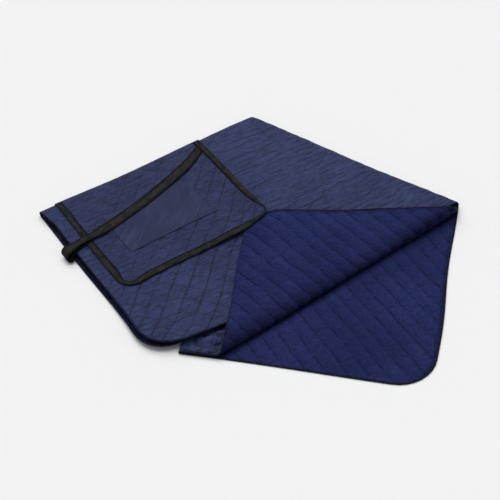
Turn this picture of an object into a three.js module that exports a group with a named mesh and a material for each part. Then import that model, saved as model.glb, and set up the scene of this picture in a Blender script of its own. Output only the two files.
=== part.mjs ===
// A quilted picnic rug with a fleece lining, lying folded on the ground.
// It is folded in half along its length, the doubled strip is folded under itself on a slant,
// and the free corner of the inner half is turned back over the top.
// Millimetres, +Z up. The origin is on the ground, below the middle of the folded rug.
import * as THREE from 'three';

// ---------- Driving dimensions ----------

// The rug lying open.
const RUG = { length: 1700, width: 1300, corner: 100 };

// The two cloths: the outer shell and the fleece lining, thin where the edge tape holds them.
const CLOTH = { thick: 2.3, apart: 0.3, hemThick: 1.1, hem: 14 };

// Height from the middle of one folded layer to the middle of the next.
const LAYER = 7.4;

// Levels in layers, counted up from the lowest one: the middle of the doubled strip,
// and the lines that the underfold and the flap turn about.
const LEVEL = { strip: 2.5, underfold: 1.5, flap: 2.5 };

// Where the half fold starts on the ground, and the direction it runs in (degrees from +X).
const STRIP = { x: -604.6, y: 94.2, direction: 34.64 };

// The strip folds under itself this far along the half fold, on this slant (degrees).
const UNDERFOLD = { along: 737, slant: 21.97 };

// The corner of the inner half turns back on a line from just past the underfold to the end hem.
// The flap lies a little drawn in: this share of its depth, and this lean along the fold.
const FLAP = { pastUnderfold: 4, fromHalfFold: 90, depth: 0.896, lean: 0.1 };

// The left end is pulled a little out of square, and the upper half lies a little short
// of the lower one there.
const LEFT_END = { atFold: 11, atHem: -20, slip: 12, slipFrom: 80, length: 600 };

// The two halves stand open at the left end.
const LEFT_OPEN = { atFold: 7, atHem: 5, length: 280 };

// The other end reaches a little further at the half fold.
const RIGHT_END = { atFold: 8, atHem: -6, length: 400 };

// The upper layers come down to the ground beside the underfold part, from here to here.
const STEP_DOWN = { from: 30, to: 300 };

// Tape round the whole edge of the rug.
const EDGE_TAPE = { thick: 0.8, clear: 0.3, beyond: 0.7, reach: 10 };

// The cover panel over the half fold, its tape and its pocket. Places are on the flat rug:
// along its length, and out from the half fold.
const PANEL = { left: 40, right: 543, front: 417, back: -1, thick: 3, hemThick: 1.6, hem: 22 };
const PANEL_CLEAR = { atFold: 1.1, flat: 2.5, from: 10, to: 120 };
const PANEL_OVER_FLAP = { rise: 7.6, from: 25, to: 120 };
const PANEL_CORNER = { left: 48, right: 28 };
const PANEL_TAPE = { thick: 0.9, clear: 0.3, beyond: 0.5, reach: 22 };
const POCKET = { left: 125, right: 404, back: 134, front: 304, hem: 8, thick: 1, clear: 0.6 };

// The carrying strap: webbing from the right of the panel, over the left end and back under itself.
const STRAP = { wide: 36, thick: 2 };

// The strap's upper run from its right end: the place of its middle on the ground plan,
// and its height above the middle of the cloth below it.
const STRAP_UPPER_RUN = [
  { along: 524, across: 44, rise: 9.3 },
  { along: 490, across: 65, rise: 10.5 },
  { along: 425, across: 92, rise: 11.8 },
  { along: 330, across: 120, rise: 11.8 },
  { along: 235, across: 145, rise: 11.8 },
  { along: 140, across: 168, rise: 12 },
  { along: 92, across: 178, rise: 12.6 },
  { along: 55, across: 184, rise: 13.4 },
  { along: 26, across: 188, rise: 9.8 },
];
// The hanging loop over the left end: height above the ground.
const STRAP_LOOP = [
  { along: 10, across: 193, height: 28.2 },
  { along: 0, across: 194, height: 26.4 },
  { along: -6.5, across: 195, height: 21.5 },
  { along: -8.6, across: 195, height: 15 },
  { along: -8.7, across: 195, height: 9.4 },
  { along: -7, across: 195, height: 7.6 },
  { along: -5.3, across: 195, height: 9.4 },
  { along: -5.1, across: 195, height: 14.5 },
  { along: -2.6, across: 194, height: 19.6 },
  { along: 3, across: 194, height: 23.2 },
  { along: 11, across: 193, height: 24.9 },
];
// The return run below the upper one, sewn to the panel's left tape.
const STRAP_RETURN_RUN = [
  { along: 26, across: 190, rise: 5.2 },
  { along: 40, across: 188, rise: 8.2 },
  { along: 56, across: 185, rise: 10.3 },
  { along: 72, across: 182, rise: 10.3 },
];

// Slow, uneven drift of the whole folded rug on the ground, sideways and fore and aft.
const DRIFT = { size: 3, sideways: 420, foreAndAft: 880, start: -480 };

// The nets that the cloths are made on. The rug's columns start at the half fold, on the strip
// and past the underfold. Its rows are shares of the way out from the half fold to the hem,
// and the flap's are shares of the way from its fold to the corner.
const STRIP_COLUMNS = [60, 110, 200, 290, 380, 465, 541, 640];
const UNDER_COLUMNS = [825, 910, 1010, 1110, 1210, 1310, 1410, 1510, 1595, 1648];
const ROWS = [0.13, 0.28, 0.43, 0.58, 0.73, 0.863, 0.943, 1];
const FLAP_ROWS = [0.22, 0.38, 0.54, 0.7, 0.82, 0.91];
const BEND_STEPS = 6;
const PANEL_COLUMNS = [200, 290, 380];
const POCKET_ROWS = [180, 235];

// ---------- Worked-out sizes ----------

const degrees = Math.PI / 180;
const CLOTH_PAIR = 2 * CLOTH.thick + CLOTH.apart;
const HALF_BEND = Math.PI * LAYER / 2;
const UNDER_BEND = Math.PI * LAYER;
const HALF_WIDTH = (RUG.width - HALF_BEND) / 2;
const SLANT = Math.tan(UNDERFOLD.slant * degrees);
const SLANT_COS = Math.cos(UNDERFOLD.slant * degrees);
const UNDER_END = UNDERFOLD.along + UNDER_BEND / SLANT_COS;

const ALONG = new THREE.Vector2(1, 0).rotateAround(new THREE.Vector2(), STRIP.direction * degrees);
const ACROSS = new THREE.Vector2(ALONG.y, -ALONG.x);
const UNDER_NORMAL = ALONG.clone().multiplyScalar(SLANT_COS)
  .addScaledVector(ACROSS, -SLANT * SLANT_COS);

const smooth = THREE.MathUtils.smoothstep;
const mix = THREE.MathUtils.lerp;

// ---------- The folds: a place on the flat rug becomes a place in space ----------
// u runs along the rug. v runs across it from the half fold: v > 0 is the upper half.

function foldInHalf(v) {
  const reach = Math.abs(v) - HALF_BEND / 2;
  if (reach >= 0) {
    return { across: reach, side: Math.sign(v) };
  }
  const angle = 2 * v / LAYER;
  return { across: -LAYER / 2 * Math.cos(angle), side: Math.sin(angle) };
}

function onGround(u, across) {
  return new THREE.Vector2(STRIP.x, STRIP.y)
    .addScaledVector(ALONG, u)
    .addScaledVector(ACROSS, across);
}

function drifted({ x, y }) {
  const turn = 2 * Math.PI;
  return new THREE.Vector2(
    x + DRIFT.size * Math.sin(turn * y / DRIFT.sideways),
    y - DRIFT.size * (1 + Math.cos(turn * (x - DRIFT.start) / DRIFT.foreAndAft)),
  );
}

// How far a place lies past the slanted underfold line.
function pastUnderfold(u, across) {
  return (u - UNDERFOLD.along - across * SLANT) * SLANT_COS;
}

function mirroredOnGround(u, across) {
  const back = UNDER_BEND - 2 * pastUnderfold(u, across);
  return onGround(u, across).addScaledVector(UNDER_NORMAL, back);
}

// The flap fold on the flat rug, and as it lies on the ground.
const FLAP_START = { u: UNDER_END + HALF_WIDTH * SLANT + FLAP.pastUnderfold, across: HALF_WIDTH };
const FLAP_END = { u: RUG.length, across: FLAP.fromHalfFold };
const FLAP_RADIUS = (LEVEL.flap - 1) * LAYER;
const flapStart = mirroredOnGround(FLAP_START.u, FLAP_START.across);
const flapEnd = mirroredOnGround(FLAP_END.u, FLAP_END.across);
const FLAP_ALONG = flapStart.clone().sub(flapEnd).normalize();
const FLAP_NORMAL = new THREE.Vector2(FLAP_ALONG.y, -FLAP_ALONG.x);

// The line on the ground below which the underfold part's half fold runs.
const stepStart = mirroredOnGround(UNDER_END, 0);
const stepEnd = mirroredOnGround(RUG.length, 0);
const STEP_NORMAL = stepEnd.clone().sub(stepStart).normalize();
STEP_NORMAL.set(STEP_NORMAL.y, -STEP_NORMAL.x);

function foldUnder(place, u, across, side) {
  const past = pastUnderfold(u, across);
  if (past <= 0) {
    return LEVEL.strip + side / 2;
  }
  const angle = Math.min(past / LAYER, Math.PI);
  const radius = LEVEL.strip - LEVEL.underfold + side / 2;
  const straight = Math.max(past - UNDER_BEND, 0);
  place.addScaledVector(UNDER_NORMAL, radius * LAYER * Math.sin(angle) - past - straight);
  return LEVEL.underfold + radius * Math.cos(angle);
}

function turnFlapBack(place, level) {
  const past = place.clone().sub(flapStart).dot(FLAP_NORMAL);
  if (past <= 0) {
    return level;
  }
  const angle = Math.min(past / FLAP_RADIUS, Math.PI);
  const radius = LEVEL.flap - level;
  const straight = Math.max(past - Math.PI * FLAP_RADIUS, 0);
  const reach = radius * LAYER * Math.sin(angle) - FLAP.depth * straight;
  place.addScaledVector(FLAP_NORMAL, reach - past);
  place.addScaledVector(FLAP_ALONG, FLAP.lean * straight);
  return LEVEL.flap - radius * Math.cos(angle);
}

function rugPoint(u, v) {
  const { across, side } = foldInHalf(v);
  const upper = Math.max(side, 0) * smooth(across, 0, LEFT_END.slipFrom);
  const share = Math.max(across, 0) / HALF_WIDTH;
  const leftPull = (mix(LEFT_END.atFold, LEFT_END.atHem, share ** 3) + LEFT_END.slip * upper)
    * (1 - smooth(u, 0, LEFT_END.length));
  const rightPull = mix(RIGHT_END.atFold, RIGHT_END.atHem, share)
    * smooth(u, RUG.length - RIGHT_END.length, RUG.length);
  const pulled = u + leftPull + rightPull;
  const place = onGround(pulled, across);
  let level = foldUnder(place, pulled, across, side);
  if (side < 0 && pastUnderfold(pulled, across) > 0) {
    level = turnFlapBack(place, level);
  }
  const outside = place.clone().sub(stepStart).dot(STEP_NORMAL);
  const drop = 2 * LAYER * smooth(outside, STEP_DOWN.from, STEP_DOWN.to);
  const open = mix(LEFT_OPEN.atFold, LEFT_OPEN.atHem, share) * (1 + side) / 2
    * (1 - smooth(u, 0, LEFT_OPEN.length));
  const { x, y } = drifted(place);
  return new THREE.Vector3(x, y, CLOTH_PAIR / 2 + LAYER * level - drop + open);
}

// A point of a curved cloth and the direction out of its shell side.
function frameOf(point, u, v) {
  const step = 0.5;
  const along = point(u + step, v).sub(point(u - step, v));
  const across = point(u, v + step).sub(point(u, v - step));
  return { at: point(u, v), out: across.cross(along).normalize() };
}

// ---------- Nets: the flat cloths as joined points ----------
// A net has inner points, the cells between them, and the loop of inner points along its hem.
// Each loop entry also has the place on the very edge that lies straight out from it.

function newNet() {
  return { places: [], cells: [], loop: [] };
}

function addPlace(net, place) {
  net.places.push(place);
  return net.places.length - 1;
}

function addCells(net, lines) {
  for (let i = 0; i + 1 < lines.length; i += 1) {
    for (let j = 0; j + 1 < lines[i].length; j += 1) {
      const [a, b, c, d] = [lines[i][j], lines[i + 1][j], lines[i + 1][j + 1], lines[i][j + 1]];
      net.cells.push([a, b, c], [a, c, d]);
    }
  }
}

// Rounds off a square corner: squares about the arc's centre become circles.
function roundCorner(place, centre, signU, signV) {
  const du = (place.u - centre.u) * signU;
  const dv = (place.v - centre.v) * signV;
  if (du <= 0 || dv <= 0) {
    return place;
  }
  const shrink = Math.max(du, dv) / Math.hypot(du, dv);
  return { u: centre.u + signU * du * shrink, v: centre.v + signV * dv * shrink };
}

function roundedRug(place) {
  const inset = RUG.corner;
  const signU = place.u > RUG.length / 2 ? 1 : -1;
  const signV = Math.sign(place.v) || 1;
  const centre = {
    u: signU > 0 ? RUG.length - inset : inset,
    v: signV * (RUG.width / 2 - inset),
  };
  return roundCorner(place, centre, signU, signV);
}

// Columns of the rug's net: straight lines out from the half fold, slanting with the underfold.
function rugColumns() {
  const columns = [];
  const [, slantFrom] = STRIP_COLUMNS;
  for (const start of [CLOTH.hem, ...STRIP_COLUMNS]) {
    columns.push({ start, slant: SLANT * smooth(start, slantFrom, UNDERFOLD.along) });
  }
  for (let k = 0; k <= BEND_STEPS; k += 1) {
    columns.push({ start: mix(UNDERFOLD.along, UNDER_END, k / BEND_STEPS), slant: SLANT });
  }
  const underEndColumn = columns.length - 1;
  const slantTo = RUG.length - RUG.corner;
  for (const start of [...UNDER_COLUMNS, RUG.length - CLOTH.hem]) {
    columns.push({ start, slant: SLANT * (1 - smooth(start, UNDER_END, slantTo)) });
  }
  return { columns, underEndColumn };
}

// Where a line on the flat rug meets the edge lines v = limit or u = limit.
function extendTo(place, step, key, limit) {
  const times = (limit - place[key]) / step[key];
  return { u: place.u + step.u * times, v: place.v + step.v * times };
}

function rugNet() {
  const net = newNet();
  const { columns, underEndColumn } = rugColumns();
  const hem = CLOTH.hem;
  const edgeV = RUG.width / 2;
  const innerReach = HALF_WIDTH - hem;
  const bendRows = [0, HALF_BEND / 4, HALF_BEND / 2];
  const lastRow = bendRows.length + ROWS.length - 1;

  function columnPlaces(column, reach, sign) {
    const places = bendRows.map((v) => {
      return { u: column.start + column.slant * foldInHalf(v).across, v: sign * v };
    });
    for (const share of ROWS) {
      const across = share * reach;
      places.push({ u: column.start + column.slant * across, v: sign * (across + HALF_BEND / 2) });
    }
    return places;
  }

  // The upper half.
  const upper = columns.map((column) => {
    return columnPlaces(column, innerReach, 1).map((place) => addPlace(net, place));
  });

  // The lower half: past the underfold its columns end on the flap fold.
  const foldStep = { u: FLAP_END.u - FLAP_START.u, v: FLAP_START.across - FLAP_END.across };
  const corner = { u: RUG.length - hem, v: hem - edgeV };
  const foldFrom = extendTo({ u: FLAP_START.u, v: -edgeV }, foldStep, 'v', corner.v);
  const foldTo = extendTo({ u: FLAP_START.u, v: -edgeV }, foldStep, 'u', corner.u);
  const flapColumns = columns.slice(underEndColumn + 1);
  const first = flapColumns[0].start;
  const last = flapColumns[flapColumns.length - 1].start;
  const flapShares = flapColumns.map((column) => (column.start - first) / (last - first));
  const lower = columns.map((column, i) => {
    let line = column;
    let reach = innerReach;
    if (i > underEndColumn) {
      const share = flapShares[i - underEndColumn - 1];
      reach = -mix(foldFrom.v, foldTo.v, share) - HALF_BEND / 2;
      const slant = (mix(foldFrom.u, foldTo.u, share) - column.start) / reach;
      line = { start: column.start, slant };
    }
    return columnPlaces(line, reach, -1).map((place, j) => {
      return j === 0 ? upper[i][0] : addPlace(net, place);
    });
  });

  // The flap: lines parallel to its fold, out to the rug's corner.
  const foldNormal = new THREE.Vector2(foldStep.v, -foldStep.u).normalize();
  const depth = (corner.u - foldFrom.u) * foldNormal.x + (corner.v - foldFrom.v) * foldNormal.y;
  const flapDepths = FLAP_ROWS.map((share) => share * depth);
  for (let k = BEND_STEPS; k > 0; k -= 1) {
    flapDepths.unshift(k / BEND_STEPS * Math.PI * FLAP_RADIUS);
  }
  const flapLines = flapDepths.map((out) => {
    const moved = { u: foldFrom.u + foldNormal.x * out, v: foldFrom.v + foldNormal.y * out };
    const long = extendTo(moved, foldStep, 'v', corner.v);
    const end = extendTo(moved, foldStep, 'u', corner.u);
    return flapShares.map((share) => {
      return addPlace(net, { u: mix(long.u, end.u, share), v: mix(long.v, end.v, share) });
    });
  });
  flapLines.unshift(lower.slice(underEndColumn + 1).map((line) => line[lastRow]));
  const cornerPlace = addPlace(net, corner);

  addCells(net, upper);
  addCells(net, lower.map((line) => [...line].reverse()));
  addCells(net, [...flapLines, flapShares.map(() => cornerPlace)]);

  // The hem loop, all round.
  const put = (index, place) => net.loop.push({ index, edge: roundedRug(place) });
  const at = (index) => net.places[index];
  const straight = { u: 1, v: 0 };
  const lastColumn = columns.length - 1;
  put(lower[0][lastRow], { u: 0, v: -edgeV });
  for (let j = lastRow - 1; j > 0; j -= 1) {
    put(lower[0][j], extendTo(at(lower[0][j]), straight, 'u', 0));
  }
  for (let j = 0; j < lastRow; j += 1) {
    put(upper[0][j], extendTo(at(upper[0][j]), straight, 'u', 0));
  }
  put(upper[0][lastRow], { u: 0, v: edgeV });
  for (let i = 1; i < lastColumn; i += 1) {
    const step = { u: columns[i].slant, v: 1 };
    put(upper[i][lastRow], extendTo(at(upper[i][lastRow]), step, 'v', edgeV));
  }
  put(upper[lastColumn][lastRow], { u: RUG.length, v: edgeV });
  for (let j = lastRow - 1; j >= 0; j -= 1) {
    put(upper[lastColumn][j], extendTo(at(upper[lastColumn][j]), straight, 'u', RUG.length));
  }
  for (let j = 1; j < lastRow; j += 1) {
    const place = at(lower[lastColumn][j]);
    const step = { u: foldStep.u, v: foldStep.v * place.v / foldTo.v };
    put(lower[lastColumn][j], extendTo(place, step, 'u', RUG.length));
  }
  for (const line of flapLines) {
    const index = line[line.length - 1];
    put(index, extendTo(at(index), foldStep, 'u', RUG.length));
  }
  put(cornerPlace, { u: RUG.length, v: -edgeV });
  for (const [index] of [...flapLines].reverse()) {
    put(index, extendTo(at(index), foldStep, 'v', -edgeV));
  }
  for (let i = underEndColumn; i > 0; i -= 1) {
    const step = { u: columns[i].slant, v: -1 };
    put(lower[i][lastRow], extendTo(at(lower[i][lastRow]), step, 'v', -edgeV));
  }
  net.places = net.places.map(roundedRug);
  net.cells = net.cells.filter(([a, b, c]) => b !== c && a !== c);
  return net;
}

// A plain rectangle of cloth, with its two front corners rounded.
function rectangleNet(us, vs, edges, round) {
  const net = newNet();
  const lines = us.map((u) => vs.map((v) => addPlace(net, round({ u, v }))));
  addCells(net, lines);
  const lastU = us.length - 1;
  const lastV = vs.length - 1;
  const put = (i, j, u, v) => net.loop.push({ index: lines[i][j], edge: round({ u, v }) });
  put(0, 0, edges.left, edges.back);
  for (let j = 1; j < lastV; j += 1) {
    put(0, j, edges.left, vs[j]);
  }
  put(0, lastV, edges.left, edges.front);
  for (let i = 1; i < lastU; i += 1) {
    put(i, lastV, us[i], edges.front);
  }
  put(lastU, lastV, edges.right, edges.front);
  for (let j = lastV - 1; j > 0; j -= 1) {
    put(lastU, j, edges.right, vs[j]);
  }
  put(lastU, 0, edges.right, edges.back);
  for (let i = lastU - 1; i > 0; i -= 1) {
    put(i, 0, us[i], edges.back);
  }
  return net;
}

// ---------- Solids ----------

function solid(name, positions, triangles, colour, roughness) {
  const geometry = new THREE.BufferGeometry();
  geometry.setAttribute('position', new THREE.Float32BufferAttribute(positions, 3));
  geometry.setIndex(triangles);
  geometry.computeVertexNormals();
  const material = new THREE.MeshStandardMaterial({ color: colour, roughness, metalness: 0 });
  const mesh = new THREE.Mesh(geometry, material);
  mesh.name = name;
  return mesh;
}

// A cloth from a net: its two faces lie at the given heights above the mid surface,
// one pair of heights inside and one pair at the hem.
function clothSolid(name, net, point, heights, colour, roughness) {
  const frames = net.places.map((place) => frameOf(point, place.u, place.v));
  const thick = frames.map(() => heights.inside);
  for (const { index, edge } of net.loop) {
    thick[index] = heights.hem;
    frames.push(frameOf(point, edge.u, edge.v));
    thick.push(heights.hem);
  }
  const cells = [...net.cells];
  const inner = net.places.length;
  const count = net.loop.length;
  for (let k = 0; k < count; k += 1) {
    const next = (k + 1) % count;
    const [a, b] = [net.loop[k].index, net.loop[next].index];
    cells.push([a, b, inner + next], [a, inner + next, inner + k]);
  }
  const total = frames.length;
  const positions = [];
  for (const face of [1, 0]) {
    frames.forEach(({ at, out }, k) => {
      positions.push(...at.clone().addScaledVector(out, thick[k][face]).toArray());
    });
  }
  const triangles = [];
  for (const [a, b, c] of cells) {
    triangles.push(a, c, b, total + a, total + b, total + c);
  }
  for (let k = 0; k < count; k += 1) {
    const [a, b] = [inner + k, inner + (k + 1) % count];
    triangles.push(b, a, total + a, b, total + a, total + b);
  }
  return solid(name, positions, triangles, colour, roughness);
}

// Rings of corners joined one to the next, closed on itself or with flat ends.
// In a ring of eight, the two faces next to the cloth split their cells as the cloth does.
function sweptSolid(name, rings, closed, colour, roughness) {
  const size = rings[0].length;
  const positions = rings.flat().flatMap((corner) => corner.toArray());
  const triangles = [];
  const pairs = closed ? rings.length : rings.length - 1;
  for (let k = 0; k < pairs; k += 1) {
    const from = k * size;
    const to = (k + 1) % rings.length * size;
    for (let c = 0; c < size; c += 1) {
      const next = (c + 1) % size;
      if (size === 8 && (c === 2 || c === 6)) {
        triangles.push(from + c, to + c, from + next, to + c, to + next, from + next);
      } else {
        triangles.push(from + c, to + c, to + next, from + c, to + next, from + next);
      }
    }
  }
  if (!closed) {
    const flat = size === 8 ? [[0, 1, 6, 7], [1, 2, 5, 6], [2, 3, 4, 5]] : [[0, 1, 2, 3]];
    const end = (rings.length - 1) * size;
    for (const [a, b, c, d] of flat) {
      triangles.push(a, b, c, a, c, d, end + a, end + c, end + b, end + a, end + d, end + c);
    }
  }
  return solid(name, positions, triangles, colour, roughness);
}

// A tape folded round a hem: eight corners at each place of the loop. Its legs end short
// of the hem's inner places.
const LONGEST_LEG = 0.95;

function tapeRings(loop, net, point, tape, hemHalf) {
  return loop.map(({ index, edge }) => {
    const rim = net.places[index];
    const outer = frameOf(point, edge.u, edge.v);
    const inner = frameOf(point, rim.u, rim.v);
    const inward = inner.at.clone().sub(outer.at);
    const share = Math.min(tape.reach / inward.length(), LONGEST_LEG);
    const legAt = outer.at.clone().addScaledVector(inward, share);
    const legOut = outer.out.clone().lerp(inner.out, share).normalize();
    inward.normalize();
    const near = hemHalf + tape.clear;
    const far = near + tape.thick;
    const bend = (back, height) => outer.at.clone()
      .addScaledVector(inward, -back).addScaledVector(outer.out, height);
    const leg = (height) => legAt.clone().addScaledVector(legOut, height);
    const back = tape.beyond + tape.thick;
    return [
      leg(near), bend(tape.beyond, near), bend(tape.beyond, -near), leg(-near),
      leg(-far), bend(back, -far), bend(back, far), leg(far),
    ];
  });
}

// ---------- The rug ----------

const SHELL_COLOUR = 0x343a5c;
const FLEECE_COLOUR = 0x262b55;
const TAPE_COLOUR = 0x1a1d2c;
const WEBBING_COLOUR = 0x26282a;

const rug = rugNet();
const clothInside = CLOTH.apart / 2;
const shell = clothSolid('quilted_shell', rug, rugPoint, {
  inside: [clothInside, clothInside + CLOTH.thick],
  hem: [clothInside, clothInside + CLOTH.hemThick],
}, SHELL_COLOUR, 0.55);
const lining = clothSolid('fleece_lining', rug, rugPoint, {
  inside: [-clothInside - CLOTH.thick, -clothInside],
  hem: [-clothInside - CLOTH.hemThick, -clothInside],
}, FLEECE_COLOUR, 0.95);

const edgeRings = tapeRings(rug.loop, rug, rugPoint, EDGE_TAPE, clothInside + CLOTH.hemThick);
const edgeTape = sweptSolid('edge_binding', edgeRings, true, TAPE_COLOUR, 0.6);

// ---------- The cover panel ----------

// The flap below the panel: its corner, and the directions along its two free edges.
function groundOf(u, v) {
  const point = rugPoint(u, v);
  return new THREE.Vector2(point.x, point.y);
}
const flapCorner = groundOf(RUG.length, -RUG.width / 2);
const flapEndSide = groundOf(RUG.length, -RUG.width / 4).sub(flapCorner).normalize();
const flapLongSide = groundOf(RUG.length - RUG.width / 4, -RUG.width / 2).sub(flapCorner).normalize();

function overFlap(point) {
  const place = new THREE.Vector2(point.x, point.y).sub(flapCorner);
  const fromEnd = place.cross(flapEndSide) * Math.sign(flapLongSide.cross(flapEndSide));
  const fromLong = place.cross(flapLongSide) * Math.sign(flapEndSide.cross(flapLongSide));
  const { from, to } = PANEL_OVER_FLAP;
  return (1 - smooth(-fromEnd, from, to)) * (1 - smooth(-fromLong, from, to));
}

function panelPoint(u, v) {
  const { at, out } = frameOf(rugPoint, u, v);
  const share = smooth(v, PANEL_CLEAR.from, PANEL_CLEAR.to);
  const clear = mix(PANEL_CLEAR.atFold, PANEL_CLEAR.flat, share);
  at.addScaledVector(out, CLOTH_PAIR / 2 + clear + PANEL.thick / 2);
  at.z += PANEL_OVER_FLAP.rise * overFlap(at);
  return at;
}

function roundedPanel(place) {
  const right = place.u > (PANEL.left + PANEL.right) / 2;
  const radius = right ? PANEL_CORNER.right : PANEL_CORNER.left;
  const centre = {
    u: right ? PANEL.right - radius : PANEL.left + radius,
    v: PANEL.front - radius,
  };
  return roundCorner(place, centre, right ? 1 : -1, 1);
}

const panelNet = rectangleNet(
  [
    PANEL.left + PANEL.hem, PANEL.left + PANEL_CORNER.left,
    POCKET.left, ...PANEL_COLUMNS, POCKET.right, STRIP_COLUMNS[5],
    PANEL.right - PANEL_CORNER.right, PANEL.right - PANEL.hem,
  ],
  [
    0, HALF_BEND / 8, HALF_BEND / 4, HALF_BEND / 2,
    POCKET.back / 2, POCKET.back, ...POCKET_ROWS, POCKET.front,
    PANEL.front - PANEL_CORNER.left, PANEL.front - PANEL.hem,
  ],
  PANEL,
  roundedPanel,
);
const panel = clothSolid('cover_panel', panelNet, panelPoint, {
  inside: [-PANEL.thick / 2, PANEL.thick / 2],
  hem: [-PANEL.hemThick / 2, PANEL.hemThick / 2],
}, SHELL_COLOUR, 0.55);

const boundSides = panelNet.loop.filter(({ edge }) => {
  return edge.v > PANEL.back || edge.u === PANEL.left || edge.u === PANEL.right;
});
const panelRings = tapeRings(boundSides, panelNet, panelPoint, PANEL_TAPE, PANEL.hemThick / 2);
const panelTape = sweptSolid('panel_binding', panelRings, false, WEBBING_COLOUR, 0.7);

// ---------- The pocket ----------

function pocketPoint(u, v) {
  const { at, out } = frameOf(panelPoint, u, v);
  return at.addScaledVector(out, PANEL.thick / 2 + POCKET.clear + POCKET.thick / 2);
}

const pocketNet = rectangleNet(
  [POCKET.left + POCKET.hem, ...PANEL_COLUMNS, POCKET.right - POCKET.hem],
  [POCKET.back + POCKET.hem, ...POCKET_ROWS, POCKET.front - POCKET.hem],
  POCKET,
  (place) => place,
);
const pocket = clothSolid('pocket', pocketNet, pocketPoint, {
  inside: [-POCKET.thick / 2, POCKET.thick / 2],
  hem: [-POCKET.thick / 2, POCKET.thick / 2],
}, SHELL_COLOUR, 0.45);

// ---------- The strap ----------

// One edge of the webbing: side is 1 toward the front and -1 toward the half fold.
function strapRoute(side) {
  const hanging = ({ along, across, height }) => {
    const place = drifted(onGround(along, across + side * STRAP.wide / 2));
    return new THREE.Vector3(place.x, place.y, height);
  };
  const onRug = ({ along, across, rise }) => {
    const cloth = rugPoint(along, across + side * STRAP.wide / 2 + HALF_BEND / 2);
    return hanging({ along, across, height: cloth.z + rise });
  };
  const points = [
    ...STRAP_UPPER_RUN.map(onRug),
    ...STRAP_LOOP.map(hanging),
    ...STRAP_RETURN_RUN.map(onRug),
  ];
  return new THREE.CatmullRomCurve3(points, false, 'centripetal');
}

const frontRoute = strapRoute(1);
const backRoute = strapRoute(-1);
const strapSteps = 2 * (frontRoute.points.length - 1);
const strapRings = [];
for (let k = 0; k <= strapSteps; k += 1) {
  const front = frontRoute.getPoint(k / strapSteps);
  const back = backRoute.getPoint(k / strapSteps);
  const up = front.clone().sub(back)
    .cross(frontRoute.getTangent(k / strapSteps))
    .setLength(STRAP.thick / 2);
  strapRings.push([
    front.clone().add(up), back.clone().add(up), back.clone().sub(up), front.clone().sub(up),
  ]);
}
const strap = sweptSolid('carry_strap', strapRings, false, WEBBING_COLOUR, 0.75);

// ---------- The whole rug ----------

const group = new THREE.Group();
group.add(shell, lining, edgeTape, panel, panelTape, pocket, strap);

export default group;
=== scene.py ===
"""A quilted picnic rug with a fleece lining, lying folded on the ground. In metres."""
import math

import bmesh
import bpy
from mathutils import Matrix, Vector, noise
from mathutils.geometry import interpolate_bezier


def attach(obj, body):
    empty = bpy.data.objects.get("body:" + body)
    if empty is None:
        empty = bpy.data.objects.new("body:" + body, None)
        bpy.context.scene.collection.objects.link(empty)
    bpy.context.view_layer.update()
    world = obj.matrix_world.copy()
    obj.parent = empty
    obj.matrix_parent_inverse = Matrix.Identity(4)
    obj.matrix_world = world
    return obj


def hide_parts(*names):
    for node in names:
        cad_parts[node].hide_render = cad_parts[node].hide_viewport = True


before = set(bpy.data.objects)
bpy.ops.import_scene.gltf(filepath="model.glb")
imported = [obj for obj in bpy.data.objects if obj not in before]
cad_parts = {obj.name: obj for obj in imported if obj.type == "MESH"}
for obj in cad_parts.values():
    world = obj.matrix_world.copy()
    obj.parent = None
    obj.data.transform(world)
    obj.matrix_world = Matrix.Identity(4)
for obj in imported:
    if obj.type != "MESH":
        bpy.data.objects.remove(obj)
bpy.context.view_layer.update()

# ---------- Camera and light ----------
# A long lens looks down on the rug from the front. A broad soft lamp stands high behind it, and
# the bright room around fills in from all sides.

aim = Vector((0.0006, -0.0401, 0))
elevation = math.radians(44.26)
camera_distance = 3.5935
toward_camera = Vector((0, -math.cos(elevation), math.sin(elevation)))
camera_data = bpy.data.cameras.new("camera")
camera_data.lens = 93.7
camera_data.sensor_width = 36
camera = bpy.data.objects.new("camera", camera_data)
camera.location = aim + camera_distance * toward_camera
camera.rotation_euler = toward_camera.to_track_quat("Z", "Y").to_euler()
bpy.context.scene.collection.objects.link(camera)
bpy.context.scene.camera = camera
bpy.context.scene.view_settings.view_transform = "Standard"


def add_sun(name, direction, strength, spread):
    """A distant soft lamp: direction is where it stands, spread its width in degrees."""
    data = bpy.data.lights.new(name, "SUN")
    data.energy = strength
    data.angle = math.radians(spread)
    lamp = bpy.data.objects.new(name, data)
    lamp.rotation_euler = Vector(direction).to_track_quat("Z", "Y").to_euler()
    bpy.context.scene.collection.objects.link(lamp)


add_sun("high_lamp", (-0.1, 0.5, 1.0), 1.9, 60)
add_sun("side_lamp", (-0.6, 0.3, 1.0), 0.45, 70)

room = bpy.data.worlds.new("room")
room.use_nodes = True
room_tree = room.node_tree
room_light = room_tree.nodes["Background"]
room_light.inputs["Color"].default_value = (0.95, 0.97, 1.0, 1)
room_light.inputs["Strength"].default_value = 0.36
room_seen = room_tree.nodes.new("ShaderNodeBackground")
room_seen.inputs["Color"].default_value = (0.887, 0.887, 0.887, 1)
room_mix = room_tree.nodes.new("ShaderNodeMixShader")
light_path = room_tree.nodes.new("ShaderNodeLightPath")
room_tree.links.new(light_path.outputs["Is Camera Ray"], room_mix.inputs["Fac"])
room_tree.links.new(room_light.outputs[0], room_mix.inputs[1])
room_tree.links.new(room_seen.outputs[0], room_mix.inputs[2])
room_tree.links.new(room_mix.outputs[0], room_tree.nodes["World Output"].inputs["Surface"])
bpy.context.scene.world = room

# ---------- Floor ----------
# A plain pale floor that runs past every edge of the view. The rug lies flat on it, and it takes
# the rug's soft shadow.


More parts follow.
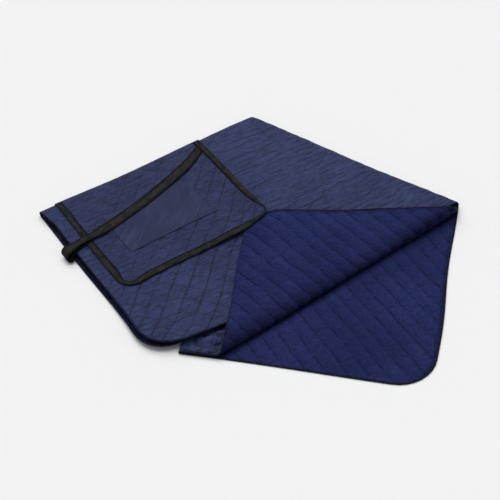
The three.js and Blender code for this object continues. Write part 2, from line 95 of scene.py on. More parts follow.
def add_piece(name, bm, *materials):
    """Makes a finished object from a bmesh, at the origin and shaded smooth."""
    mesh = bpy.data.meshes.new(name)
    bm.to_mesh(mesh)
    bm.free()
    mesh.shade_smooth()
    for material in materials:
        mesh.materials.append(material)
    piece = bpy.data.objects.new(name, mesh)
    bpy.context.scene.collection.objects.link(piece)
    return piece


def new_material(name, colour, roughness):
    """A material with its Principled shader's plain values set."""
    material = bpy.data.materials.new(name)
    material.use_nodes = True
    shader = material.node_tree.nodes["Principled BSDF"]
    shader.inputs["Base Color"].default_value = (*colour, 1)
    shader.inputs["Roughness"].default_value = roughness
    return material, material.node_tree, shader


floor_paint, _, _ = new_material("floor_paint", (0.89, 0.885, 0.88), 0.9)
floor_mesh = bmesh.new()
bmesh.ops.create_grid(floor_mesh, x_segments=1, y_segments=1, size=15)
floor = add_piece("floor", floor_mesh, floor_paint)

# ---------- The folded rug ----------
# The rug is one quilted cloth of two layers. It is folded in half along its length, the doubled
# strip is folded under itself on a slant, and the inner half's free corner is turned back on top.
# u runs along the flat rug and v across it from the half fold; v > 0 is the upper half.

rug_length = 1.7
rug_width = 1.3
rug_corner = 0.1
cloth_pair = 0.0049
layer = 0.0074
# The levels of the folds count such layers from the ground.
strip_level, underfold_level, flap_level = 2.5, 1.5, 2.5
strip_start = Vector((-0.6046, 0.0942))
strip_direction = math.radians(34.64)
underfold_along = 0.737
underfold_slant = math.radians(21.97)

half_bend = math.pi * layer / 2
under_bend = math.pi * layer
half_width = (rug_width - half_bend) / 2
slope = math.tan(underfold_slant)
slope_cos = math.cos(underfold_slant)
under_end = underfold_along + under_bend / slope_cos

along_strip = Vector((math.cos(strip_direction), math.sin(strip_direction)))
across_strip = Vector((along_strip.y, -along_strip.x))
under_normal = slope_cos * (along_strip - slope * across_strip)


def mix(start, end, share):
    return start + (end - start) * share


def smooth(value, start, end):
    share = min(max((value - start) / (end - start), 0), 1)
    return share * share * (3 - 2 * share)


def fold_in_half(v):
    """How far from the half fold a place lies, and its side: 1 on top, -1 below."""
    reach = abs(v) - half_bend / 2
    if reach >= 0:
        return reach, math.copysign(1, v)
    angle = 2 * v / layer
    return -layer / 2 * math.cos(angle), math.sin(angle)


def on_ground(u, across):
    return strip_start + u * along_strip + across * across_strip


def past_underfold(u, across):
    return (u - underfold_along - across * slope) * slope_cos


def mirrored_on_ground(u, across):
    return on_ground(u, across) + (under_bend - 2 * past_underfold(u, across)) * under_normal


flap_past_underfold = 0.004
flap_from = (under_end + half_width * slope + flap_past_underfold, half_width)
flap_to = (rug_length, 0.09)
flap_radius = (flap_level - 1) * layer
flap_start = mirrored_on_ground(*flap_from)
flap_along = (flap_start - mirrored_on_ground(*flap_to)).normalized()
flap_normal = Vector((flap_along.y, -flap_along.x))
flap_depth, flap_lean = 0.896, 0.1
flap_spring, flap_sag = 0.012, 0.008

# The flap's fold on the flat rug: v < 0 is the lower half, which carries the flap.
flat_fold_start = Vector((flap_from[0], -flap_from[1]))
flat_fold_along = Vector((flap_to[0] - flap_from[0], flap_from[1] - flap_to[1])).normalized()
flat_fold_normal = Vector((flat_fold_along.y, -flat_fold_along.x))

step_start = mirrored_on_ground(under_end, 0)
step_along = (mirrored_on_ground(rug_length, 0) - step_start).normalized()
step_normal = Vector((step_along.y, -step_along.x))


def fold_under(place, u, across, side):
    """Turns what lies past the slanted line under the strip: the place and its new level."""
    past = past_underfold(u, across)
    if past <= 0:
        return place, strip_level + side / 2
    angle = min(past / layer, math.pi)
    radius = strip_level - underfold_level + side / 2
    straight = max(past - under_bend, 0)
    place = place + (radius * layer * math.sin(angle) - past - straight) * under_normal
    return place, underfold_level + radius * math.cos(angle)


def turn_flap_back(place, level):
    """Turns the corner past the flap's fold over the top: the place and its new level.

    The fold springs up where it starts, and further on sags beside the strip's edge.
    """
    past = (place - flap_start).dot(flap_normal)
    if past <= 0:
        return place, level
    angle = min(past / flap_radius, math.pi)
    radius = flap_level - level
    straight = max(past - math.pi * flap_radius, 0)
    reach = radius * layer * math.sin(angle) - flap_depth * straight
    from_start = (flap_start - place).dot(flap_along)
    spring = flap_spring * (1 - smooth(from_start, 0.03, 0.33))
    sag = flap_sag * smooth(from_start, 0.05, 0.3) * (1 - smooth(straight, 0, 0.05))
    turned = (1 - math.cos(angle)) / 2
    place = place + (reach - past) * flap_normal + flap_lean * straight * flap_along
    return place, flap_level - radius * math.cos(angle) + (spring - sag) / layer * turned


def drifted(place):
    """The slow, uneven drift of the whole folded rug on the ground."""
    size, wave_across, wave_along = 0.003, 0.42, 0.88
    return Vector((
        place.x + size * math.sin(2 * math.pi * place.y / wave_across),
        place.y - size * (1 + math.cos(2 * math.pi * (place.x + 0.48) / wave_along)),
    ))


hem_overhang = 0.018
lower_sag, upper_sag = 0.0022, 0.0034
opening_at_fold, opening_at_hem = 0.007, 0.005
heap_height, heap_creases, creases_per_metre = 0.006, 0.014, 46


def heap_rise(place, u):
    """How high the tucked corner stands up where it peeps out from under the front hem."""
    before_flap = (flap_start - place).dot(flap_normal)
    if before_flap <= 0:
        return 0
    beyond = (place - strip_start).dot(across_strip) - half_width
    crease = noise.noise(Vector((place.x, place.y, 0)) * creases_per_metre)
    heap = heap_height + heap_creases * crease
    heap *= smooth(beyond, hem_overhang, 0.03) * smooth(before_flap, 0, 0.02) * smooth(u, 1.5, 1.6)
    return heap * smooth(rug_length - u, 0, 0.03)


def rug_point(u, v):
    """A point of the surface midway through the rug's two cloths.

    The upper half hangs over the lower one at the front hem and lifts off it at the left end.
    Both halves sag a little along the front hem.
    """
    across, side = fold_in_half(v)
    on_top = (1 + side) / 2
    upper = max(side, 0) * smooth(across, 0, 0.08)
    share = max(across, 0) / half_width
    overhang = hem_overhang * upper * smooth(share, 0.65, 1) * smooth(u, 0.03, 0.22)
    across += overhang * (1 - smooth(u, 0.6, 0.8))
    # The rug's two ends are pulled a little out of square.
    left_pull = (mix(0.011, -0.02, share ** 3) + 0.009 * upper) * (1 - smooth(u, 0, 0.6))
    right_pull = mix(0.008, -0.006, share) * smooth(u, rug_length - 0.4, rug_length)
    pulled = u + left_pull + right_pull
    place, level = fold_under(on_ground(pulled, across), pulled, across, side)
    tucked = past_underfold(pulled, across) > 0
    heap = 0
    if side < 0 and tucked:
        heap = heap_rise(place, u)
        place, level = turn_flap_back(place, level)
    drop = 2 * layer * smooth((place - step_start).dot(step_normal), 0.03, 0.3)
    opening = mix(opening_at_fold, opening_at_hem, share) * on_top * (1 - smooth(u, 0, 0.28))
    if not tucked:
        sag = mix(lower_sag, upper_sag, on_top) * smooth(share, 0.75, 1)
        level -= sag / layer * smooth(u, 0.1, 0.35) * (1 - smooth(u, 0.6, 0.8))
    place = drifted(place)
    height = cloth_pair / 2 + layer * level + heap - drop + opening
    return Vector((place.x, place.y, height))


def out_of(surface, u, v):
    """The direction out of a curved cloth on its shell side."""
    step = 0.0005
    along = surface(u + step, v) - surface(u - step, v)
    across = surface(u, v + step) - surface(u, v - step)
    return across.cross(along).normalized()


def settled(point):
    """The pile lies a little uneven: all that is above the ground swells and sinks together."""
    swell = noise.noise(Vector((point.x, point.y, 0)) * 6)
    return Vector((point.x, point.y, max(point.z * (1 + 0.1 * swell), 0.0002)))


def round_corner(u, v, centre_u, centre_v, sign_u, sign_v):
    """Rounds off a square corner: squares about the arc's centre become circles."""
    du = (u - centre_u) * sign_u
    dv = (v - centre_v) * sign_v
    if du <= 0 or dv <= 0:
        return u, v
    shrink = max(du, dv) / math.hypot(du, dv)
    return centre_u + sign_u * du * shrink, centre_v + sign_v * dv * shrink


def rounded_rug(u, v):
    sign_u = 1 if u > rug_length / 2 else -1
    sign_v = 1 if v > 0 else -1
    centre_u = rug_length - rug_corner if sign_u > 0 else rug_corner
    centre_v = sign_v * (rug_width / 2 - rug_corner)
    return round_corner(u, v, centre_u, centre_v, sign_u, sign_v)


def rug_edge_distance(u, v):
    """How far inside the rounded hem a place on the flat rug lies."""
    du = abs(u - rug_length / 2) - (rug_length / 2 - rug_corner)
    dv = abs(v) - (rug_width / 2 - rug_corner)
    if du > 0 and dv > 0:
        return rug_corner - math.hypot(du, dv)
    return rug_corner - max(du, dv)


# ---------- Quilting ----------
# Both cloths of the rug and the cover panel are stitched through in diamonds, and puff up between
# the stitch lines. The map on each cloth holds metres on the flat cloth: the quilting's own place.

diamonds_along = 27
diamonds_across = 23
diamond_length = rug_length / diamonds_along
diamond_width = rug_width / diamonds_across
cells_per_diamond = 8
# The stitch lines miss the half fold by this share of a diamond.
line_shift = 1 / 8


def diamond_place(u, v):
    """Counts of stitch lines crossed, one for each of the two families."""
    v += line_shift * diamond_width
    return u / diamond_length + v / diamond_width, u / diamond_length - v / diamond_width


def puff(u, v, other_family):
    """0 on a stitch line and 1 at a full diamond's middle; each diamond is filled unevenly."""
    first, second = diamond_place(u, v)
    fill = 0.85 + 0.3 * noise.cell(Vector((math.floor(first), math.floor(second), 0.5)))
    first_rise, second_rise = (abs(math.sin(math.pi * count)) ** 0.7 for count in (first, second))
    return fill * first_rise * mix(1, second_rise, other_family)


def spaced(start, end, count):
    """Even steps from start to end."""
    return [mix(start, end, k / count) for k in range(count + 1)]


def flat_cloth(columns, rows):
    """A flat cloth as a grid with the given lines, its map in metres, and each point's cell."""
    bm = bmesh.new()
    flat_map = bm.loops.layers.uv.new("flat")
    last_column, last_row = len(columns) - 1, len(rows) - 1
    bmesh.ops.create_grid(bm, x_segments=last_column, y_segments=last_row, size=0.5, calc_uvs=True)
    cells = {}
    for vert in bm.verts:
        i, j = round((vert.co.x + 0.5) * last_column), round((vert.co.y + 0.5) * last_row)
        cells[vert] = (i, j)
        vert.co = (columns[i], rows[j], 0)
    for face in bm.faces:
        for loop in face.loops:
            loop[flat_map].uv = loop.vert.co.xy
    return bm, cells


def cut_line(bm, start, direction, keep):
    """Cuts an edge line across the flat cloth where keep(face middle) is true."""
    faces = [face for face in bm.faces if keep(face.calc_center_median())]
    edges = {edge for face in faces for edge in face.edges}
    verts = {vert for face in faces for vert in face.verts}
    normal = (direction[1], -direction[0], 0)
    bmesh.ops.bisect_plane(
        bm, geom=[*faces, *edges, *verts], dist=1e-5, plane_co=(*start, 0), plane_no=normal,
    )


def lay_cloth(bm, surface, thickness, outward):
    """Lays a flat cloth on a curved surface, then lifts it off by thickness(u, v, map place)."""
    flat_map = bm.loops.layers.uv["flat"]
    places = [(vert.co.x, vert.co.y, vert.link_loops[0][flat_map].uv.copy()) for vert in bm.verts]
    if outward:
        bmesh.ops.reverse_faces(bm, faces=bm.faces)
    for vert, (u, v, _) in zip(bm.verts, places):
        vert.co = surface(u, v)
    bm.normal_update()
    for vert, (u, v, mapped) in zip(bm.verts, places):
        vert.co = settled(vert.co + thickness(u, v, mapped) * vert.normal)


def solidify(piece, thickness):
    """Gives a laid cloth its thickness, on its inner side."""
    modifier = piece.modifiers.new("thickness", "SOLIDIFY")
    modifier.thickness = thickness
    modifier.offset = -1


# From a set start, the cells of the cloth wander the same way in every build.
wander_seed = 1795352951
noise.seed_set(wander_seed)


def folded_rug_grid():
    """The flat rug with rounded corners, slightly wandering cells and edge lines at its folds."""
    bm, _ = flat_cloth(
        spaced(0, rug_length, diamonds_along * cells_per_diamond),
        spaced(-rug_width / 2, rug_width / 2, diamonds_across * cells_per_diamond),
    )
    for vert in bm.verts:
        u, v = rounded_rug(vert.co.x, vert.co.y)
        inside = smooth(rug_edge_distance(u, v), 0, 0.06) * smooth(abs(v), 0.005, 0.04)
        wander = noise.noise_vector(Vector((u, v, 0)) * 7) * 0.006 * inside
        vert.co = (u + wander.x, v + wander.y, 0)
    for share in (-2, -1, 1, 2):
        cut_line(bm, (0, share * half_bend / 4), (1, 0), lambda middle: True)
    for side in (1, -1):
        for step in range(7):
            start = (mix(underfold_along, under_end, step / 6), side * half_bend / 2)
            cut_line(bm, start, (slope, side), lambda middle: middle.y * side > 0)
    for step in range(-1, 10):
        start = Vector((flap_from[0], -flap_from[1] - half_bend / 2))
        start += step / 8 * math.pi * flap_radius * flat_fold_normal
        cut_line(bm, start, flat_fold_along, lambda middle: middle.y < 0 and middle.x > under_end)
    return bm


def add_maths(tree, operation, *values):
    """A Math node whose inputs are sockets or plain numbers."""
    node = tree.nodes.new("ShaderNodeMath")
    node.operation = operation
    for socket, value in zip(node.inputs, values):
        if isinstance(value, bpy.types.NodeSocket):
            tree.links.new(value, socket)
        else:
            socket.default_value = value
    return node.outputs[0]


def add_range(tree, value, low, high, to_low=0.0, to_high=1.0):
    """A Map Range node that fades smoothly from one value to another."""
    node = tree.nodes.new("ShaderNodeMapRange")
    node.interpolation_type = "SMOOTHSTEP"
    tree.links.new(value, node.inputs["Value"])
    limits = {"From Min": low, "From Max": high, "To Min": to_low, "To Max": to_high}
    for name, number in limits.items():
        node.inputs[name].default_value = number
    return node.outputs["Result"]


def add_noise(tree, vector, scale, detail=3.0, stretch=(1, 1, 1), distortion=0.0):
    """Noise on a vector, stretched along its axes."""
    mapping = tree.nodes.new("ShaderNodeMapping")
    mapping.inputs["Scale"].default_value = stretch
    tree.links.new(vector, mapping.inputs["Vector"])
    node = tree.nodes.new("ShaderNodeTexNoise")
    node.inputs["Scale"].default_value = scale
    node.inputs["Detail"].default_value = detail
    node.inputs["Distortion"].default_value = distortion
    tree.links.new(mapping.outputs["Vector"], node.inputs["Vector"])
    return node.outputs["Fac"]


def add_group(tree, group, vector, **values):
    """Places a shared effect: its Place vector, and its other inputs by name."""
    node = tree.nodes.new("ShaderNodeGroup")
    node.node_tree = group
    tree.links.new(vector, node.inputs["Place"])
    for name, value in values.items():
        socket = node.inputs[name.replace("_", " ").capitalize()]
        if isinstance(value, bpy.types.NodeSocket):
            tree.links.new(value, socket)
        else:
            socket.default_value = value
    return node.outputs


def new_group(name, inputs, outputs):
    """A node group with a Place vector, named number inputs with defaults, and number outputs."""
    group = bpy.data.node_groups.new(name, "ShaderNodeTree")
    group.interface.new_socket("Place", in_out="INPUT", socket_type="NodeSocketVector")
    for label, default in inputs.items():
        socket = group.interface.new_socket(label, in_out="INPUT", socket_type="NodeSocketFloat")
        socket.default_value = default
    for label in outputs:
        group.interface.new_socket(label, in_out="OUTPUT", socket_type="NodeSocketFloat")
    return group, group.nodes.new("NodeGroupInput"), group.nodes.new("NodeGroupOutput")


def add_mix(tree, factor, first, second):
    """Mixes two colours, each a socket or three numbers."""
    node = tree.nodes.new("ShaderNodeMix")
    node.data_type = "RGBA"
    tree.links.new(factor, node.inputs["Factor"])
    first_colour, second_colour, mixed_colour = node.inputs[6], node.inputs[7], node.outputs[2]
    for socket, value in ((first_colour, first), (second_colour, second)):
        if isinstance(value, bpy.types.NodeSocket):
            tree.links.new(value, socket)
        else:
            socket.default_value = (*value, 1)
    return mixed_colour


def add_bump(tree, height, distance, before=None):
    """A Bump node of the given depth in metres, on top of an earlier one."""
    node = tree.nodes.new("ShaderNodeBump")
    node.inputs["Distance"].default_value = distance
    tree.links.new(height, node.inputs["Height"])
    if before is not None:
        tree.links.new(before, node.inputs["Normal"])
    return node.outputs["Normal"]


def add_map(tree):
    """A cloth's own map: its place on the flat cloth, in metres."""
    node = tree.nodes.new("ShaderNodeUVMap")
    node.uv_map = "flat"
    return node.outputs["UV"]


quilt_effect, quilt_in, quilt_out = new_group(
    "quilt_stitching",
    {
        "Groove width": 0.004, "Stitch length": 0.006, "First lines": 1.0, "Second lines": 1.0,
        "Wander": 0.006,
    },
    ["Groove", "Stitch"],
)
tree = quilt_effect
axes = tree.nodes.new("ShaderNodeSeparateXYZ")
tree.links.new(quilt_in.outputs["Place"], axes.inputs[0])
wandered = []
for axis, scale in (("X", 21), ("Y", 27)):
    bend = add_maths(tree, "SUBTRACT", add_noise(tree, quilt_in.outputs["Place"], scale, 2), 0.5)
    bend = add_maths(tree, "MULTIPLY", bend, quilt_in.outputs["Wander"])
    wandered.append(add_maths(tree, "ADD", axes.outputs[axis], bend))
along_count = add_maths(tree, "DIVIDE", wandered[0], diamond_length)
across_count = add_maths(tree, "DIVIDE", wandered[1], diamond_width)
across_count = add_maths(tree, "ADD", across_count, line_shift)
families = [
    add_maths(tree, "ADD", along_count, across_count),
    add_maths(tree, "SUBTRACT", along_count, across_count),
]
line_spacing = diamond_length * diamond_width / math.hypot(diamond_length, diamond_width)
line_length = math.hypot(diamond_length, diamond_width) / 2
stitch_share = 0.7
grooves, threads = [], []
for family, other in zip(families, reversed(families)):
    distance = add_maths(tree, "MULTIPLY", add_maths(tree, "PINGPONG", family, 0.5), line_spacing)
    share = add_maths(tree, "DIVIDE", distance, quilt_in.outputs["Groove width"])
    grooves.append(add_range(tree, share, 0, 1, 1.0, 0.0))
    run = add_maths(tree, "MULTIPLY", other, line_length)
    stitches = add_maths(tree, "DIVIDE", run, quilt_in.outputs["Stitch length"])
    dash = add_maths(tree, "LESS_THAN", add_maths(tree, "FRACT", stitches), stitch_share)
    thin = add_range(tree, distance, 0.0003, 0.0006, 1.0, 0.0)
    threads.append(add_maths(tree, "MULTIPLY", dash, thin))
for label, (first, second) in (("Groove", grooves), ("Stitch", threads)):
    first = add_maths(tree, "MULTIPLY", first, quilt_in.outputs["First lines"])
    second = add_maths(tree, "MULTIPLY", second, quilt_in.outputs["Second lines"])
    tree.links.new(add_maths(tree, "MAXIMUM", first, second), quilt_out.inputs[label])

# ---------- Quilted shell ----------
# The rug's outer cloth: slate-blue woven nylon with a faint sheen, over a thin wadding. The
# stitching draws it down in diamonds and gathers fine puckers along the cloth.

gather_effect, gather_in, gather_out = new_group(
    "gathered_puckers", {"Spacing": 0.01}, ["Line", "Rows", "Relief"],
)
tree = gather_effect
shrink = tree.nodes.new("ShaderNodeVectorMath")
shrink.operation = "DIVIDE"
spacing_vector = tree.nodes.new("ShaderNodeCombineXYZ")
for axis in ("X", "Y", "Z"):
    tree.links.new(gather_in.outputs["Spacing"], spacing_vector.inputs[axis])
tree.links.new(gather_in.outputs["Place"], shrink.inputs[0])
tree.links.new(spacing_vector.outputs[0], shrink.inputs[1])
relief = add_noise(tree, shrink.outputs[0], 0.75, 1.5, (0.28, 1, 1), 0.5)
row_axes = tree.nodes.new("ShaderNodeSeparateXYZ")
tree.links.new(shrink.outputs[0], row_axes.inputs[0])
drift = add_maths(tree, "MULTIPLY", add_maths(tree, "SUBTRACT", relief, 0.5), 0.8)
row_count = add_maths(tree, "ADD", row_axes.outputs["Y"], drift)
row = add_range(tree, add_maths(tree, "PINGPONG", row_count, 0.5), 0.0, 0.14, 1.0, 0.0)
dashes = add_noise(tree, shrink.outputs[0], 0.9, 1, (0.5, 1.2, 1))
dashed = add_maths(tree, "MULTIPLY", row, add_range(tree, dashes, 0.42, 0.52))
tree.links.new(dashed, gather_out.inputs["Rows"])
breaks = add_noise(tree, shrink.outputs[0], 0.45, 1, (0.6, 1, 1))
off_middle = add_maths(tree, "ABSOLUTE", add_maths(tree, "SUBTRACT", relief, 0.5))
valley = add_range(tree, off_middle, 0.0, 0.055, 1.0, 0.0)
broken = add_maths(tree, "MULTIPLY", valley, add_range(tree, breaks, 0.42, 0.56))
tree.links.new(broken, gather_out.inputs["Line"])
tree.links.new(relief, gather_out.inputs["Relief"])

weave_effect, weave_in, weave_out = new_group("plain_weave", {"Thread": 0.0006}, ["Height"])
tree = weave_effect
axes = tree.nodes.new("ShaderNodeSeparateXYZ")
tree.links.new(weave_in.outputs["Place"], axes.inputs[0])
waves = []
for axis in ("X", "Y"):
    turns = add_maths(tree, "DIVIDE", axes.outputs[axis], weave_in.outputs["Thread"])
    waves.append(add_maths(tree, "SINE", add_maths(tree, "MULTIPLY", turns, math.pi)))
tree.links.new(add_maths(tree, "MULTIPLY", *waves), weave_out.inputs["Height"])


def set_nylon_sheen(shader):
    shader.inputs["Sheen Weight"].default_value = 0.03
    shader.inputs["Sheen Roughness"].default_value = 0.4
    shader.inputs["Specular IOR Level"].default_value = 0.2


def new_nylon(name, dark, pale, far, near):
    """Quilted nylon gathered into fine puckers; the stitching deepens from far to near.

    The rug's tucked corner, which peeps out from under the front hem, is creased all over.
    """
    material, tree, shader = new_material(name, pale, 0.5)
    set_nylon_sheen(shader)
    place = add_map(tree)
    axes = tree.nodes.new("ShaderNodeSeparateXYZ")
    tree.links.new(place, axes.inputs[0])
    slack = add_maths(
        tree, "MULTIPLY", add_range(tree, axes.outputs["X"], far[0], near[0], 0.1, 1.0),
        add_range(tree, axes.outputs["Y"], far[1], near[1], 0.2, 1.0),
    )
    quilt = add_group(tree, quilt_effect, place, groove_width=0.0055, second_lines=0.6)
    # The grooves' depth and painted shade come and go in patches.
    patchy_tone_and_shade = add_range(tree, add_noise(tree, place, 13, 3), 0.36, 0.54, 0.45, 1.0)
    groove = add_maths(tree, "MULTIPLY", quilt["Groove"], add_maths(tree, "MULTIPLY", patchy_tone_and_shade, slack))
    fine = add_group(tree, gather_effect, place, spacing=0.0095)
    broad = add_group(tree, gather_effect, place, spacing=0.02)
    in_rows = add_maths(tree, "MULTIPLY", broad["Rows"], add_range(tree, slack, 0.2, 0.8, 0.8, 0.4))
    loose = add_maths(
        tree, "MAXIMUM", add_maths(tree, "MULTIPLY", fine["Line"], 0.6),
        add_maths(tree, "MULTIPLY", broad["Line"], add_range(tree, slack, 0.2, 0.8, 0.35, 0.55)),
    )
    gathers = add_maths(tree, "MAXIMUM", loose, in_rows)
    crushed = add_maths(
        tree, "MULTIPLY", add_range(tree, axes.outputs["Y"], -0.16, -0.12),
        add_range(tree, axes.outputs["X"], 1.56, 1.61),
    )
    creases = add_noise(tree, place, 30, 1, (1, 0.6, 1), 0.8)
    off_middle = add_maths(tree, "ABSOLUTE", add_maths(tree, "SUBTRACT", creases, 0.5))
    crease = add_maths(tree, "MULTIPLY", add_range(tree, off_middle, 0.0, 0.045, 1.0, 0.0), crushed)
    mottle = add_noise(tree, place, 8, 4)
    slate = add_mix(tree, add_range(tree, mottle, 0.35, 0.65), dark, pale)
    deep = tuple(0.25 * value for value in dark)
    # Painted shade: grooves, puckers and the tucked corner's creases darken towards deep slate.
    stitched = add_mix(tree, add_maths(tree, "MULTIPLY", groove, 0.68), slate, deep)
    gathered = add_mix(tree, add_maths(tree, "MULTIPLY", gathers, 0.85), stitched, deep)
    creased = add_mix(tree, add_maths(tree, "MULTIPLY", crease, 0.9), gathered, deep)
    tree.links.new(
        add_mix(tree, add_maths(tree, "MULTIPLY", quilt["Stitch"], slack), creased, deep),
        shader.inputs["Base Color"],
    )
    normal = add_bump(tree, add_maths(tree, "MULTIPLY", groove, -1), 0.0014)
    normal = add_bump(tree, add_maths(tree, "MULTIPLY", gathers, -1), 0.0018, normal)
    normal = add_bump(tree, fine["Relief"], 0.008, normal)
    normal = add_bump(tree, add_maths(tree, "MULTIPLY", creases, crushed), 0.03, normal)
    weave = add_group(tree, weave_effect, place, thread=0.0006)
    tree.links.new(add_bump(tree, weave["Height"], 0.00015, normal), shader.inputs["Normal"])
    return material


dark_slate, pale_slate = (0.0225, 0.0325, 0.108), (0.031, 0.0425, 0.134)
nylon = new_nylon("quilted_nylon", dark_slate, pale_slate, far=(0.66, 0.3), near=(0.5, 0.46))
cloth_thickness = 0.001
hem_height = 0.00125


def inside_hem(u, v):
    """0 along the rug's flat hem and 1 where its cloths are free to puff up."""
    return smooth(rug_edge_distance(u, v), 0.009, 0.035)


def shell_height(u, v, mapped):
    """The shell's outer face above the rug's middle: thin at the hem, puffed inside."""
    at_fold = mix(0.4, 1, smooth(abs(v), 0.004, 0.03))
    return mix(hem_height, 0.0016 + 0.0015 * at_fold * puff(*mapped, 0.9), inside_hem(u, v))


shell_mesh = folded_rug_grid()
lay_cloth(shell_mesh, rug_point, shell_height, outward=True)
shell = add_piece("quilted_shell_cloth", shell_mesh, nylon)
solidify(shell, cloth_thickness)
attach(shell, "root")
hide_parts("quilted_shell")

# ---------- Fleece lining ----------
# The rug's inner cloth: navy fleece, stitched through with the shell. On each half the stitch
# lines that lie across the light are drawn strong and the others faint, in relief and in painted
# shade.

fleece, tree, shader = new_material("navy_fleece", (0.017, 0.022, 0.085), 0.95)
shader.inputs["Sheen Weight"].default_value = 0.2
shader.inputs["Sheen Roughness"].default_value = 0.6
shader.inputs["Sheen Tint"].default_value = (0.15, 0.2, 0.9, 1)
shader.inputs["Specular IOR Level"].default_value = 0.05
place = add_map(tree)
axes = tree.nodes.new("ShaderNodeSeparateXYZ")
tree.links.new(place, axes.inputs[0])
upper_half = add_maths(tree, "GREATER_THAN", axes.outputs["Y"], 0)
# Painted shade follows the light: which family of stitch lines is strong swaps between the halves.
line_strength_by_light = {
    "first_lines": add_range(tree, upper_half, 0, 1, 1.0, 0.15),
    "second_lines": add_range(tree, upper_half, 0, 1, 0.15, 1.0),
}
quilt = add_group(tree, quilt_effect, place, groove_width=0.005, **line_strength_by_light)
pillows = add_group(tree, quilt_effect, place, groove_width=0.02, **line_strength_by_light)
patchy_tone_and_shade = add_range(tree, add_noise(tree, place, 22, 3), 0.38, 0.58, 0.3, 1.0)
groove = add_maths(tree, "MULTIPLY", quilt["Groove"], patchy_tone_and_shade)
fibres = add_noise(tree, place, 900, 2)
tufts = add_noise(tree, place, 170, 3)
clumps = add_noise(tree, place, 70, 3)
from_middle = add_maths(tree, "ABSOLUTE", axes.outputs["Y"])
# Painted shade of the flap's fold: its rolled edge, and the upper half just beside the crease,
# darken.
past_fold = add_maths(
    tree, "SUBTRACT", add_maths(tree, "MULTIPLY", axes.outputs["X"], flat_fold_normal.x),
    add_maths(
        tree, "ADD", add_maths(tree, "MULTIPLY", from_middle, flat_fold_normal.y),
        flat_fold_normal.dot(flat_fold_start),
    ),
)
rolled = add_range(tree, past_fold, 0.024, 0.08, 0.95, 0.0)
beside = add_range(tree, past_fold, 0.012, 0.035, 0.85, 0.0)
shaded = add_maths(
    tree, "ADD", add_maths(tree, "MULTIPLY", rolled, add_range(tree, upper_half, 0, 1, 1.0, 0.0)),
    add_maths(tree, "MULTIPLY", beside, upper_half),
)
mottle = add_noise(tree, place, 6, 5)
deep_navy, bright_navy = (0.0135, 0.0185, 0.071), (0.021, 0.027, 0.1)
navy = add_mix(tree, add_range(tree, mottle, 0.35, 0.65), deep_navy, bright_navy)
speckled = add_mix(tree, add_range(tree, tufts, 0.35, 0.6, 0.55, 0.0), navy, (0.009, 0.0115, 0.048))
patches = add_range(tree, clumps, 0.35, 0.6, 0.4, 0.0)
patched = add_mix(tree, patches, speckled, (0.01, 0.013, 0.052))
by_hem = add_range(tree, from_middle, rug_width / 2 - 0.018, rug_width / 2 - 0.005)
hem_shade = add_maths(tree, "MULTIPLY", by_hem, add_range(tree, mottle, 0.4, 0.55, 0.3, 0.85))
dulled = add_mix(tree, hem_shade, patched, (0.006, 0.0065, 0.02))
# Painted shade: the stitch grooves darken where shade falls in them.
lined = add_mix(tree, add_maths(tree, "MULTIPLY", groove, 0.75), dulled, (0.005, 0.006, 0.026))
tree.links.new(add_mix(tree, shaded, lined, (0.0035, 0.004, 0.015)), shader.inputs["Base Color"])
normal = add_bump(tree, add_maths(tree, "MULTIPLY", groove, -1), 0.0014)
normal = add_bump(tree, add_maths(tree, "MULTIPLY", pillows["Groove"], -1), 0.003, normal)
normal = add_bump(tree, clumps, 0.005, normal)
normal = add_bump(tree, tufts, 0.002, normal)
tree.links.new(add_bump(tree, fibres, 0.0006, normal), shader.inputs["Normal"])


def lining_height(u, v, mapped):
    """The fleece's face above the rug's middle: its pile fills the stitching out."""
    return mix(hem_height, 0.0017 + 0.0014 * puff(*mapped, 0.35), inside_hem(u, v))


lining_mesh = folded_rug_grid()
lay_cloth(lining_mesh, rug_point, lining_height, outward=False)
lining = add_piece("fleece_lining_cloth", lining_mesh, fleece)
solidify(lining, cloth_thickness)
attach(lining, "root")
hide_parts("fleece_lining")

# ---------- Edge binding ----------
# A narrow, nearly black tape of plain weave, folded round the rug's whole edge and stitched
# through both cloths. Its lower leg is wider at the left end, where the rug lies open.


def rounded_path(corners, step, closed):
    """Places and inward directions along straight sides joined by round corners.

    Each corner is (u, v, radius); the path keeps the cloth on its left.
    """
    count = len(corners)
    path = []
    for index, (u, v, radius) in enumerate(corners):
        corner = Vector((u, v))
        before = Vector(corners[index - 1][:2])
        after = Vector(corners[(index + 1) % count][:2])
        arriving, leaving = (corner - before).normalized(), (after - corner).normalized()
        if radius == 0:
            side = arriving if index == count - 1 else leaving
            path.append((corner, Vector((-side.y, side.x))))
        else:
            inward = Vector((-arriving.y, arriving.x))
            centre = corner - radius * arriving + radius * inward
            for k in range(9):
                turn = k / 8 * math.pi / 2
                spoke = math.cos(turn) * inward - math.sin(turn) * arriving
                path.append((centre - radius * spoke, spoke))
        if closed or index < count - 1:
            start = path[-1][0]
            next_radius = corners[(index + 1) % count][2]
            run = (after - start).length - next_radius
            inward = Vector((-leaving.y, leaving.x))
            pieces = round(run / step)
            for k in range(1, pieces):
                path.append((start + k / pieces * run * leaving, inward))
    return path


